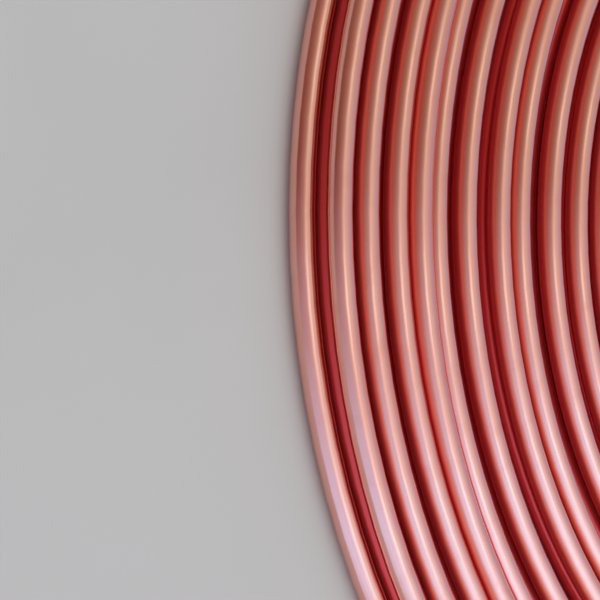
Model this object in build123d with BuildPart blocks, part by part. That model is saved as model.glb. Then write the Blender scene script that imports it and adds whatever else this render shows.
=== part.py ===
from build123d import *
import math
import os

os.makedirs("parts", exist_ok=True)

# A coil of soft copper tube, wound flat in two layers and lying on its end.
# The winding is one turned solid: each turn is a ring, and the turns show as ridges
# on both ends, on the outside and in the eye. Millimetres, +Z up, origin under the centre.

TUBE_OD = 12.0
TUBE_WALL = 1.0
# The rings' sections have this many sides, with flats at the top, the bottom and the sides.
SECTION_SIDES = 12

# Centre-line radius of the outermost upper turn.
UPPER_OUTER_R = 389.6
# Steps inward from one upper turn to the next, in tube diameters. The winding is uneven:
# some turns lie against each other and others stand apart.
UPPER_STEPS = [1.26, 1.41, 0.97, 0.97, 1.52, 1.76, 1.08, 1.70, 1.50, 1.40]
# This turn has no room between its neighbours and rides up on them, by this many diameters.
RAISED_TURN = 3
RAISED_BY = 0.25
# The lower layer starts this far outside the upper one, and is wound with even steps.
LOWER_OVERHANG = 12.0
LOWER_STEP = 1.04
LOWER_COUNT = 15
# The turns of a layer are joined up to this height over and under their centres.
JOIN_RISE = 2.0

# The tube's two free ends leave the outside of the coil on a bend and run out straight.
END_BEND_R = 90.0
END_BEND_DEG = 38.0
END_STRAIGHT = 60.0
# Each end springs this far up and outward from the turn it leaves.
END_LIFT = 0.5
# Where each end leaves the winding: in a corner of the coil's bounding square.
LOWER_END_DEG = 38.0
UPPER_END_DEG = -38.0

TUBE_R = TUBE_OD / 2
LOWER_Z = TUBE_R
# The upper layer lies on the crests of the lower one.
UPPER_Z = LOWER_Z + TUBE_OD


def upper_turns():
    """Centres (radius, height) of the upper turns, from the outside in."""
    radius = UPPER_OUTER_R
    centres = [(radius, UPPER_Z)]
    for number, step in enumerate(UPPER_STEPS, start=1):
        radius -= step * TUBE_OD
        lift = RAISED_BY * TUBE_OD if number == RAISED_TURN else 0.0
        centres.append((radius, UPPER_Z + lift))
    return centres


def lower_turns():
    """Centres of the lower turns, from the outside in."""
    outer = UPPER_OUTER_R + LOWER_OVERHANG
    return [(outer - number * LOWER_STEP * TUBE_OD, LOWER_Z) for number in range(LOWER_COUNT)]


def band(outer_r, inner_r, bottom, top):
    """A rectangle of the section between two radii and two heights."""
    with Locations(((outer_r + inner_r) / 2, (bottom + top) / 2)):
        Rectangle(outer_r - inner_r, top - bottom)


UPPER = upper_turns()
LOWER = lower_turns()

with BuildPart() as coil:
    with BuildSketch(Plane.XZ) as section:
        for centre in UPPER + LOWER:
            with Locations(centre):
                RegularPolygon(TUBE_R, SECTION_SIDES, major_radius=False, rotation=180 / SECTION_SIDES)
        # What holds the rings together: a band through each layer and one between the layers.
        band(UPPER[0][0], UPPER[-1][0], UPPER_Z - JOIN_RISE, UPPER_Z + JOIN_RISE)
        band(LOWER[0][0], LOWER[-1][0], LOWER_Z - JOIN_RISE, LOWER_Z + JOIN_RISE)
        band(UPPER[0][0], LOWER[-1][0], LOWER_Z, UPPER_Z)
    revolve(axis=Axis.Z)

    # The free ends. Each bend starts in line with its turn and swings outward.
    for turn, start_deg, way in (
        (LOWER[0], LOWER_END_DEG, 1),
        (UPPER[0], UPPER_END_DEG, -1),
    ):
        outward = Vector(1, 0, 0).rotate(Axis.Z, start_deg)
        along = Vector(0, way, 0).rotate(Axis.Z, start_deg)
        height = Vector(0, 0, turn[1] + END_LIFT)
        start = outward * (turn[0] + END_LIFT) + height
        pivot = start + outward * END_BEND_R
        swing = -way * END_BEND_DEG
        straight_start = pivot + (start - pivot).rotate(Axis.Z, swing)
        straight_way = along.rotate(Axis.Z, swing)
        for radius, mode in ((TUBE_R, Mode.ADD), (TUBE_R - TUBE_WALL, Mode.SUBTRACT)):
            with BuildSketch(Plane(origin=start, x_dir=(0, 0, 1), z_dir=along)):
                Circle(radius)
            revolve(axis=Axis(pivot, (0, 0, -way)), revolution_arc=END_BEND_DEG, mode=mode)
            with BuildSketch(Plane(origin=straight_start, x_dir=(0, 0, 1), z_dir=straight_way)):
                Circle(radius)
            extrude(amount=END_STRAIGHT, mode=mode)

coil.part.label = "tube_coil"
export_step(coil.part, "parts/tube_coil.step")
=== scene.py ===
import math

import bmesh
import bpy
from mathutils import Matrix, Vector


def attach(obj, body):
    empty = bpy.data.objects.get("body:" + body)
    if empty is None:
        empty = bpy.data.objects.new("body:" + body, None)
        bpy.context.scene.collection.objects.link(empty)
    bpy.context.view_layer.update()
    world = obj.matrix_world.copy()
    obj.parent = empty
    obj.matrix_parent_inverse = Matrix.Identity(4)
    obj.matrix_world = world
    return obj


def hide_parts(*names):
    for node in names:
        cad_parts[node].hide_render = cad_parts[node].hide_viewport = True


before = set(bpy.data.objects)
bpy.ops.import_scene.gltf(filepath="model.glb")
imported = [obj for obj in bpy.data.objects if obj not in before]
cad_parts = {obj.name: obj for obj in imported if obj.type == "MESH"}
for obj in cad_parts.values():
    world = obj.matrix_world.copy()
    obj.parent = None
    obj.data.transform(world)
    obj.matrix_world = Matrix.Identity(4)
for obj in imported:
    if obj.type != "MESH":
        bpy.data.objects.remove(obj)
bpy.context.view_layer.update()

# Sizes in metres, as in the coil's drawing. The steps are in tube diameters.
TUBE_OD = 0.012
TUBE_WALL = 0.001
UPPER_OUTER_R = 0.3896
UPPER_STEPS = [1.26, 1.41, 0.97, 0.97, 1.52, 1.76, 1.08, 1.70, 1.50, 1.40]
RAISED_TURN = 3
RAISED_BY = 0.25
LOWER_OVERHANG = 0.012
LOWER_STEP = 1.04
LOWER_COUNT = 15
END_BEND_R = 0.090
END_BEND_DEG = 38.0
END_STRAIGHT = 0.060
END_LIFT = 0.0005
LOWER_END_DEG = 38.0
UPPER_END_DEG = -38.0

# The skin stays a hair inside the drawing's outline, so crossing turns never cut each other.
SKIN_GAP = 0.00006
TUBE_R = TUBE_OD / 2 - SKIN_GAP
BORE_R = TUBE_OD / 2 - TUBE_WALL
LOWER_Z = TUBE_OD / 2
UPPER_Z = LOWER_Z + TUBE_OD

# Where the turns step from one radius to the next: short of each free end, over this many degrees.
STEP_OVER_DEG = 45.0
STEP_SHORT_DEG = 12.0
# Each upper turn steps this much sooner than the turn inside it, so they fan out.
STEP_DRIFT_DEG = 3.0
# Past the corner with both free ends there is one lower turn fewer. The others spread out from
# this far past it.
SPREAD_DEG = 55.0
# The last lower turn leans this far into the eye, and then climbs to the upper layer.
LEAN_DEG = 6.0
LEAN = 0.0128
CLIMB_DEG = 40.0
# The winding rises to its free ends over this many degrees.
END_RISE_DEG = 20.0

# A turn is bare and bright within the first angle of where it faces open air, and painted dark past
# the second, as painted shade and reflection between the turns.
BARE_DEG = 36.0
COVERED_DEG = 60.0
# The rim's turns and the eye's are open sideways too, and close over this much of a turn.
EDGE_FADE_DEG = 30.0
# The second lower turn lies open until the outermost upper one has stepped out over it, this
# far from the free ends.
STEPPED_OUT_DEG = 500.0

# How finely the tube is made.
TUBE_SIDES = 30
SAMPLE_DEG = 3.0
BEND_SAMPLES = 14
STRAIGHT_SAMPLES = 5
EDGE_SEGMENTS = 3

# The cut ends: the cutter rolls the outer edge in, and the inner edge is reamed. Both lie in a
# short band of their own.
ROLLED_EDGE = 0.0004
REAMED_EDGE = 0.0002
CUT_BAND = 0.0012
# A point this near a ring's radius is on the ring, and two this near each other are one.
ON_RING = SKIN_GAP / 10
SAME_POINT = SKIN_GAP

# The tube's two materials: its skin's and its bore's.
SKIN_SLOT = 0
BORE_SLOT = 1

# The photograph's view: the image is 600 pixels wide and the lens 1800 pixels long.
IMAGE_PX = 600
FOCAL_PX = 1800
SENSOR_MM = 36.0
# The coil's axis leans this far off the line of sight, towards this side of the image.
VIEW_TILT_DEG = 36.04
VIEW_ROLL_DEG = -3.89
# Where the middle of the coil's face is in the image, right of its edge, and how far away.
CENTRE_PX = (882.4, 251.1)
CENTRE_DISTANCE = 1.0291
NEAREST_SEEN = 0.02
FARTHEST_SEEN = 50.0

FLOOR_REACH = 20.0
# Three soft lamps hang in a row over the left side of the coil. Each has its place across and
# away from the camera, its power and its colour.
LAMP_HEIGHT = 5.0
LAMP_TARGET = (-0.33, 0, 0)
LAMP_LONG = 1.8
LAMP_SHORT = 0.6
LAMPS = (
    (0.3, 1.5, 1.8, (0.70, 1.0, 0.90)),
    (-0.7, -0.15, 2.2, (0.70, 1.0, 0.95)),
    (-0.3, -1.8, 3.0, (0.50, 0.90, 1.0)),
)
AIR_STRENGTH = 2.0


# The tube's centre line

def upper_radii():
    radii = [UPPER_OUTER_R]
    for step in UPPER_STEPS:
        radii.append(radii[-1] - step * TUBE_OD)
    return radii


def lower_radii():
    outer = UPPER_OUTER_R + LOWER_OVERHANG
    return [outer - number * LOWER_STEP * TUBE_OD for number in range(LOWER_COUNT)]


def smooth(t):
    """0 below 0, 1 above 1, and a change between them that starts and ends gently."""
    t = min(max(t, 0.0), 1.0)
    return t * t * t * (t * (6 * t - 15) + 10)


def polar(radius, degrees, height):
    angle = math.radians(degrees)
    return Vector((radius * math.cos(angle), radius * math.sin(angle), height))


def winding_steps():
    """Each step of the winding: where it starts, in degrees along the tube from the start of
    the lower layer, and the radius and height that it leads to."""
    upper = upper_radii()
    lower = lower_radii()
    corner = LOWER_END_DEG - UPPER_END_DEG
    last = LOWER_COUNT - 1
    steps = []
    for turn in range(1, LOWER_COUNT):
        steps.append((turn * 360.0 - STEP_SHORT_DEG - STEP_OVER_DEG, lower[turn], LOWER_Z))
        if turn < last:
            wide = lower[0] + (lower[-1] - lower[0]) * turn / (last - 1)
            steps.append((turn * 360.0 + corner + SPREAD_DEG, wide, LOWER_Z))
    steps.append((last * 360.0 + corner + LEAN_DEG, lower[-1] - LEAN, LOWER_Z))
    steps.append((last * 360.0 + corner + CLIMB_DEG, upper[-1], UPPER_Z))
    for turn in reversed(range(len(upper) - 1)):
        turns_before = LOWER_COUNT + len(upper) - 2 - turn
        start = turns_before * 360.0 + corner + STEP_SHORT_DEG + turn * STEP_DRIFT_DEG
        lift = RAISED_BY * TUBE_OD if turn == RAISED_TURN else 0.0
        steps.append((start, upper[turn], UPPER_Z + lift))
    return steps


def free_end(radius, height, start_deg, way):
    """Points of a free end from the winding outwards: a bend, then a straight."""
    outward = polar(1.0, start_deg, 0.0)
    along = polar(1.0, start_deg + 90.0 * way, 0.0)
    pivot = outward * (radius + END_LIFT + END_BEND_R) + Vector((0, 0, height + END_LIFT))
    bend = math.radians(END_BEND_DEG)
    points = []
    for number in range(1, BEND_SAMPLES + 1):
        turned = bend * number / BEND_SAMPLES
        arm = along * math.sin(turned) - outward * math.cos(turned)
        points.append(pivot + arm * END_BEND_R)
    heading = along * math.cos(bend) + outward * math.sin(bend)
    bend_end = points[-1]
    for number in range(1, STRAIGHT_SAMPLES + 1):
        points.append(bend_end + heading * (END_STRAIGHT * number / STRAIGHT_SAMPLES))
    points.insert(-1, points[-1] - heading * CUT_BAND)
    return points


def wound_line():
    """The turns, wound clockwise: the lower layer inwards, the climb, the upper layer outwards.
    Gives the points, and how many degrees each is from the start."""
    steps = winding_steps()
    outermost = lower_radii()[0]
    whole = (LOWER_COUNT + len(UPPER_STEPS)) * 360.0 + LOWER_END_DEG - UPPER_END_DEG
    # Samples lie at the same bearings in every turn, so that neighbouring turns run alike.
    first = LOWER_END_DEG % SAMPLE_DEG
    samples = math.ceil((whole - first) / SAMPLE_DEG)
    stops = [0.0] + [first + number * SAMPLE_DEG for number in range(samples)] + [whole]
    points = []
    for travelled in stops:
        radius, height = outermost, LOWER_Z
        for start, to_radius, to_height in steps:
            part = smooth((travelled - start) / STEP_OVER_DEG)
            radius += (to_radius - radius) * part
            height += (to_height - height) * part
        to_end = min(travelled, whole - travelled)
        spring = END_LIFT * smooth(1.0 - to_end / END_RISE_DEG)
        points.append(polar(radius + spring, LOWER_END_DEG - travelled, height + spring))
    return points, stops


# The tube

def swept_tube(points, radius, sides):
    """A bmesh of an open tube along the points, with a map: once round, and metres along."""
    curve = bpy.data.curves.new("tube_line", "CURVE")
    curve.dimensions = "3D"
    curve.twist_mode = "Z_UP"
    curve.bevel_depth = radius
    curve.bevel_resolution = (sides - 4) // 2
    line = curve.splines.new("POLY")
    line.points.add(len(points) - 1)
    for point, place in zip(line.points, points):
        point.co = (*place, 1.0)
    holder = bpy.data.objects.new("tube_line", curve)
    mesh = bpy.data.meshes.new_from_object(holder)
    bpy.data.objects.remove(holder)
    tube = bmesh.new()
    tube.from_mesh(mesh)
    bpy.data.meshes.remove(mesh)

    run = [0.0]
    for here, there in zip(points, points[1:]):
        run.append(run[-1] + (there - here).length)
    for old in list(tube.loops.layers.uv):
        tube.loops.layers.uv.remove(old)
    skin = tube.loops.layers.uv.new("skin")
    for face in tube.faces:
        numbers = [vert.index % sides for vert in face.verts]
        crosses_seam = max(numbers) - min(numbers) > 1
        for loop in face.loops:
            ring, side = divmod(loop.vert.index, sides)
            around = sides if crosses_seam and side == 0 else side
            loop[skin].uv = (around / sides, run[ring])
    return tube


def within(travelled, reach):
    """1 up to this reach, fading to 0 just past it."""
    return smooth((reach - travelled) / EDGE_FADE_DEG + 1.0)


def open_sides(centre, travelled, whole):
    """How open the winding is above, below, outside and inside one point of its centre line."""
    radius = math.hypot(centre.x, centre.y)
    upper = smooth((centre.z - LOWER_Z) / TUBE_OD)
    outermost = lower_radii()[0] + (upper_radii()[0] - lower_radii()[0]) * upper
    free = smooth((radius - outermost) / TUBE_OD)
    from_ends = min(travelled, whole - travelled)
    climb = (LOWER_COUNT - 1) * 360.0 + LOWER_END_DEG - UPPER_END_DEG + CLIMB_DEG
    from_climb = abs(travelled - climb)
    rim = within(from_ends, 360.0)
    eye = within(from_climb, 360.0)
    bared = within(from_ends, STEPPED_OUT_DEG)
    return max(upper, bared), max(1.0 - upper, free), rim, max(eye, free)


def mark_skin(tube, points, stops):
    """Marks how bare the skin is, 1 where it faces open air, and how deep between the turns. The
    skin's colour paints shade and reflection between the turns from these marks.
    """
    bare = tube.verts.layers.float.new("bare")
    deep = tube.verts.layers.float.new("deep")
    covered = math.cos(math.radians(COVERED_DEG))
    spread_over = math.cos(math.radians(BARE_DEG)) - covered
    open_at = [open_sides(centre, travelled, stops[-1]) for centre, travelled in zip(points, stops)]
    for vert in tube.verts:
        ring = vert.index // TUBE_SIDES
        centre = points[ring]
        above, below, outside, inside = open_at[ring]
        facing = (vert.co - centre).normalized()
        out = (facing.x * centre.x + facing.y * centre.y) / math.hypot(centre.x, centre.y)
        across = math.sqrt(max(1.0 - facing.z ** 2, 0.0)) * (outside if out > 0.0 else inside)
        up = facing.z * (above if facing.z > 0.0 else below)
        openness = math.hypot(across, up)
        # Bright where the skin faces open air; past that, deep sets how dark the painted shade
        # between the turns is.
        vert[bare] = smooth((openness - covered) / spread_over)
        vert[deep] = smooth(1.0 - openness / covered)


def ring_at(tube, tip, radius):
    """The edges of one ring round the tip."""
    return [
        edge for edge in tube.edges
        if all(abs((vert.co - tip).length - radius) < ON_RING for vert in edge.verts)
    ]


def bore_mesh(end):
    """The bore of a free end, from the cut to where it is closed."""
    bore = swept_tube(end[::-1], BORE_R, TUBE_SIDES)
    for face in bore.faces:
        face.material_index = BORE_SLOT
    bare = bore.verts.layers.float.new("bare")
    for vert in bore.verts:
        vert[bare] = 1.0
    blind = [
        edge for edge in bore.edges
        if edge.is_boundary and (edge.verts[0].co - end[0]).length < 2 * BORE_R
    ]
    bmesh.ops.contextual_create(bore, geom=blind, mat_nr=BORE_SLOT)
    mesh = bpy.data.meshes.new("bore")
    bore.to_mesh(mesh)
    bore.free()
    return mesh


def close_cut(tube, tip):
    """The cut face, which reaches from the outside to the bore."""
    outer = ring_at(tube, tip, TUBE_R)
    wall = (TUBE_R - BORE_R) * math.cos(math.pi / TUBE_SIDES)
    cap = bmesh.ops.contextual_create(tube, geom=outer, mat_nr=SKIN_SLOT)["faces"][0]
    bmesh.ops.inset_individual(tube, faces=[cap], thickness=wall, use_even_offset=True)
    bmesh.ops.delete(tube, geom=[cap], context="FACES_ONLY")
    inner = dict.fromkeys(vert for edge in ring_at(tube, tip, BORE_R) for vert in edge.verts)
    bmesh.ops.remove_doubles(tube, verts=list(inner), dist=SAME_POINT)


def round_cut(tube, tip):
    """The rolled outer edge and the reamed inner edge of a cut end."""
    for radius, width in ((TUBE_R, ROLLED_EDGE), (BORE_R, REAMED_EDGE)):
        bmesh.ops.bevel(
            tube, geom=ring_at(tube, tip, radius), offset=width, segments=EDGE_SEGMENTS,
            profile=0.5, affect="EDGES", material=-1,
        )


def tube_coil():
    """The whole tube, closed into its bores at both cut ends."""
    lower_end = free_end(lower_radii()[0], LOWER_Z, LOWER_END_DEG, 1)
    upper_end = free_end(upper_radii()[0], UPPER_Z, UPPER_END_DEG, -1)
    winding, stops = wound_line()
    line = lower_end[::-1] + winding + upper_end
    stops = [stops[0]] * len(lower_end) + stops + [stops[-1]] * len(upper_end)
    tube = swept_tube(line, TUBE_R, TUBE_SIDES)
    mark_skin(tube, line, stops)
    for end in (lower_end, upper_end):
        bore = bore_mesh(end)
        tube.from_mesh(bore)
        bpy.data.meshes.remove(bore)
        close_cut(tube, end[-1])
    # The edges are rounded once every face points outwards.
    bmesh.ops.recalc_face_normals(tube, faces=tube.faces)
    for end in (lower_end, upper_end):
        round_cut(tube, end[-1])
    for face in tube.faces:
        face.smooth = True
    mesh = bpy.data.meshes.new("coiled_tube")
    tube.to_mesh(mesh)
    tube.free()
    piece = bpy.data.objects.new("coiled_tube", mesh)
    bpy.context.scene.collection.objects.link(piece)
    return piece


coil = tube_coil()
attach(coil, "root")
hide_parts("tube_coil")


# Materials

def put(tree, kind, inputs, **settings):
    """A node with its settings, and its inputs set to values or linked to outputs."""
    made = tree.nodes.new(kind)
    for name, value in settings.items():
        setattr(made, name, value)
    for key, value in inputs.items():
        if isinstance(value, bpy.types.NodeSocket):
            tree.links.new(value, made.inputs[key])
        else:
            made.inputs[key].default_value = value
    return made


def reckon(tree, how, first, second=0.0):
    return put(tree, "ShaderNodeMath", {0: first, 1: second}, operation=how).outputs[0]


def spread(tree, value, low, high, to_low=0.0, to_high=1.0):
    """The value, spread from between low and high to between two others."""
    return put(tree, "ShaderNodeMapRange", {
        "Value": value, "From Min": low, "From Max": high, "To Min": to_low, "To Max": to_high,
    }).outputs[0]


def colour_sockets(sockets):
    return [socket for socket in sockets if socket.type == "RGBA"]


def blend_colours(tree, amount, first, second, how="MIX"):
    mix = put(tree, "ShaderNodeMix", {"Factor": amount}, data_type="RGBA", blend_type=how)
    for socket, colour in zip(colour_sockets(mix.inputs), (first, second)):
        if isinstance(colour, bpy.types.NodeSocket):
            tree.links.new(colour, socket)
        else:
            socket.default_value = (*colour, 1.0)
    return colour_sockets(mix.outputs)[0]


def effect(name, inputs, outputs):
    """An empty node group with numbers in and out. Gives the group and its two end nodes."""
    group = bpy.data.node_groups.new(name, "ShaderNodeTree")
    for label, value in inputs.items():
        socket = group.interface.new_socket(label, in_out="INPUT", socket_type="NodeSocketFloat")
        socket.default_value = value
    for label in outputs:
        group.interface.new_socket(label, in_out="OUTPUT", socket_type="NodeSocketFloat")
    return group, group.nodes.new("NodeGroupInput"), group.nodes.new("NodeGroupOutput")


def drawing_lines():
    """Fine lines along the tube, as the drawing die leaves them. They meet at the map's seam."""
    group, given, result = effect("drawing_lines", {"Lines": 60.0, "Length": 0.3}, ["Mark"])
    place = put(group, "ShaderNodeUVMap", {}, uv_map="skin").outputs[0]
    split = put(group, "ShaderNodeSeparateXYZ", {0: place})
    turn = reckon(group, "MULTIPLY", split.outputs[0], 2 * math.pi)
    reach = reckon(group, "DIVIDE", given.outputs["Lines"], 2 * math.pi)
    across = reckon(group, "MULTIPLY", reckon(group, "COSINE", turn), reach)
    up = reckon(group, "MULTIPLY", reckon(group, "SINE", turn), reach)
    along = reckon(group, "DIVIDE", split.outputs[1], given.outputs["Length"])
    where = put(group, "ShaderNodeCombineXYZ", {0: across, 1: up, 2: along}).outputs[0]
    noise = put(group, "ShaderNodeTexNoise", {
        "Vector": where, "Scale": 1.0, "Detail": 4.0, "Roughness": 0.65,
    }).outputs[0]
    group.links.new(spread(group, noise, 0.3, 0.7), result.inputs["Mark"])
    return group


def tarnish():
    """Cloudy patches of air-dulled copper, with the size of a patch in metres."""
    group, given, result = effect("tarnish", {"Patch": 0.05, "Start": 0.45, "Full": 0.75}, ["Mask"])
    place = put(group, "ShaderNodeTexCoord", {}).outputs["Object"]
    scale = reckon(group, "DIVIDE", 1.0, given.outputs["Patch"])
    noise = put(group, "ShaderNodeTexNoise", {
        "Vector": place, "Scale": scale, "Detail": 5.0, "Roughness": 0.6, "Distortion": 0.4,
    }).outputs[0]
    mask = spread(group, noise, given.outputs["Start"], given.outputs["Full"])
    group.links.new(mask, result.inputs["Mask"])
    return group


DRAWING_LINES = drawing_lines()
TARNISH = tarnish()


def line_mark(tree, lines, length):
    """The drawing lines, with about this many round the tube, each about this long."""
    given = {"Lines": lines, "Length": length}
    return put(tree, "ShaderNodeGroup", given, node_tree=DRAWING_LINES).outputs["Mark"]


def patches(tree, patch, start=0.45, full=0.75):
    given = {"Patch": patch, "Start": start, "Full": full}
    return put(tree, "ShaderNodeGroup", given, node_tree=TARNISH).outputs["Mask"]


def new_material(name):
    material = bpy.data.materials.new(name)
    material.use_nodes = True
    tree = material.node_tree
    return material, tree, tree.nodes["Principled BSDF"]


def bright_copper():
    """Drawn copper: bright where it is bare, with painted shade and reflection between the turns,
    which makes it redder, darker and duller there.
    """
    material, tree, shader = new_material("bright_copper")
    mark = line_mark(tree, 70.0, 0.4)
    clouds = patches(tree, 0.09)
    prints = patches(tree, 0.018, 0.55, 0.8)
    bare = put(tree, "ShaderNodeAttribute", {}, attribute_name="bare").outputs["Fac"]
    deep = put(tree, "ShaderNodeAttribute", {}, attribute_name="deep").outputs["Fac"]

    fresh = blend_colours(tree, clouds, (0.91, 0.465, 0.39), (0.89, 0.42, 0.34))
    handled = reckon(tree, "MULTIPLY", prints, 0.4)
    printed = blend_colours(tree, handled, fresh, (0.78, 0.30, 0.21))
    # Painted shade and reflection between the turns, mixed in where the skin is not bare:
    # orange-red where a turn faces its neighbour, crimson deep in the gaps.
    covered = blend_colours(tree, deep, (0.88, 0.20, 0.12), (0.78, 0.075, 0.075))
    shaded_between_turns = blend_colours(tree, bare, covered, printed)
    faint = reckon(tree, "MULTIPLY", mark, 0.12)
    lined = blend_colours(tree, faint, shaded_between_turns, (0.70, 0.27, 0.19))
    tree.links.new(lined, shader.inputs["Base Color"])

    line_wear = reckon(tree, "MULTIPLY", mark, 0.5)
    print_wear = reckon(tree, "MULTIPLY", prints, 0.5)
    wear = reckon(tree, "ADD", line_wear, print_wear)
    dullness = spread(tree, bare, 0.0, 1.0, 0.30, 0.17)
    worn = reckon(tree, "ADD", dullness, reckon(tree, "MULTIPLY", wear, 0.1))
    tree.links.new(worn, shader.inputs["Roughness"])
    # Less metallic between the turns, which darkens them further as painted shade.
    tree.links.new(spread(tree, bare, 0.0, 1.0, 0.7, 1.0), shader.inputs["Metallic"])
    shader.inputs["Specular IOR Level"].default_value = 0.2
    bump = put(tree, "ShaderNodeBump", {"Strength": 0.04, "Distance": 0.00004, "Height": mark})
    tree.links.new(bump.outputs["Normal"], shader.inputs["Normal"])
    return material


def dull_bore():
    """The bore's brown film, with short drawing lines."""
    material, tree, shader = new_material("dull_bore")
    mark = line_mark(tree, 40.0, 0.05)
    film = patches(tree, 0.004)
    brown = blend_colours(tree, film, (0.62, 0.27, 0.18), (0.36, 0.14, 0.09))
    tree.links.new(brown, shader.inputs["Base Color"])
    tree.links.new(spread(tree, mark, 0.0, 1.0, 0.34, 0.5), shader.inputs["Roughness"])
    shader.inputs["Metallic"].default_value = 0.5
    shader.inputs["Specular IOR Level"].default_value = 0.3
    bump = put(tree, "ShaderNodeBump", {"Strength": 0.2, "Distance": 0.00005, "Height": mark})
    tree.links.new(bump.outputs["Normal"], shader.inputs["Normal"])
    return material


coil.data.materials.append(bright_copper())
coil.data.materials.append(dull_bore())


# Floor, light and camera

def floor():
    slab = bmesh.new()
    bmesh.ops.create_grid(slab, x_segments=1, y_segments=1, size=FLOOR_REACH)
    mesh = bpy.data.meshes.new("floor")
    slab.to_mesh(mesh)
    slab.free()
    piece = bpy.data.objects.new("floor", mesh)
    bpy.context.scene.collection.objects.link(piece)
    material, tree, shader = new_material("pale_floor")
    pale = blend_colours(tree, patches(tree, 0.5), (0.66, 0.60, 0.53), (0.62, 0.565, 0.50))
    tree.links.new(pale, shader.inputs["Base Color"])
    shader.inputs["Roughness"].default_value = 0.6
    piece.data.materials.append(material)


def softbox(name, place, power, colour):
    """A soft light that faces the lamps' target, with its short side away from the camera."""
    light = bpy.data.lights.new(name, "AREA")
    light.shape = "RECTANGLE"
    light.size = LAMP_LONG
    light.size_y = LAMP_SHORT
    light.energy = power
    light.color = colour
    lamp = bpy.data.objects.new(name, light)
    bpy.context.scene.collection.objects.link(lamp)
    back = (Vector(place) - Vector(LAMP_TARGET)).normalized()
    short_side = (Vector((0, 1, 0)) - back * back.y).normalized()
    turn = Matrix((short_side.cross(back), short_side, back)).transposed()
    lamp.matrix_world = Matrix.Translation(place) @ turn.to_4x4()


def camera():
    tilt = math.radians(VIEW_TILT_DEG)
    roll = math.radians(VIEW_ROLL_DEG)
    # The coil's axis as the camera sees it: right, up and towards the lens.
    lean = math.sin(tilt)
    axis = Vector((lean * math.cos(roll), -lean * math.sin(roll), math.cos(tilt)))
    across = (Vector((1, 0, 0)) - axis * axis.x).normalized()
    turn = Matrix((across, axis.cross(across), axis))
    reach = CENTRE_DISTANCE / FOCAL_PX
    middle = Vector((
        (CENTRE_PX[0] - IMAGE_PX / 2) * reach,
        (IMAGE_PX / 2 - CENTRE_PX[1]) * reach,
        -CENTRE_DISTANCE,
    ))
    data = bpy.data.cameras.new("camera")
    data.lens = FOCAL_PX / IMAGE_PX * SENSOR_MM
    data.sensor_width = SENSOR_MM
    data.clip_start = NEAREST_SEEN
    data.clip_end = FARTHEST_SEEN
    view = bpy.data.objects.new("camera", data)
    bpy.context.scene.collection.objects.link(view)
    place = Vector((0, 0, UPPER_Z)) - turn @ middle
    view.matrix_world = Matrix.Translation(place) @ turn.to_4x4()
    bpy.context.scene.camera = view
    bpy.context.scene.view_settings.view_transform = "Standard"


def ramp(tree, value, stops):
    """A colour ramp over a value between -1 and 1. Each stop is a value and a colour."""
    made = put(tree, "ShaderNodeValToRGB", {0: spread(tree, value, -1.0, 1.0)})
    elements = made.color_ramp.elements
    while len(elements) < len(stops):
        elements.new(0.5)
    for element, (value, colour) in zip(elements, stops):
        element.position = (value + 1.0) / 2.0
        element.color = (*colour, 1.0)
    return made.outputs[0]


def studio_air():
    """Dim light from all round: dark and warm from the left, brighter and cooler from the front."""
    world = bpy.data.worlds.new("studio")
    bpy.context.scene.world = world
    world.use_nodes = True
    tree = world.node_tree
    way = put(tree, "ShaderNodeTexCoord", {}).outputs["Generated"]
    split = put(tree, "ShaderNodeSeparateXYZ", {0: way})
    across = ramp(tree, split.outputs[0], [
        (-1.0, (0.11, 0.03, 0.02)),
        (-0.35, (0.21, 0.16, 0.13)),
        (0.0, (0.38, 0.36, 0.31)),
        (0.6, (0.30, 0.29, 0.26)),
        (1.0, (0.20, 0.19, 0.31)),
    ])
    front = ramp(tree, split.outputs[1], [
        (-0.9, (0.20, 0.20, 0.20)),
        (-0.6, (0.25, 0.50, 0.85)),
        (-0.15, (0.13, 0.17, 0.23)),
        (0.2, (0.0, 0.0, 0.0)),
    ])
    air = blend_colours(tree, 1.0, across, front, "ADD")
    tree.links.new(air, tree.nodes["Background"].inputs["Color"])
    tree.nodes["Background"].inputs["Strength"].default_value = AIR_STRENGTH


floor()
for number, (across, far, power, colour) in enumerate(LAMPS):
    softbox(f"overhead_{number}", (across, far, LAMP_HEIGHT), power, colour)
studio_air()
camera()
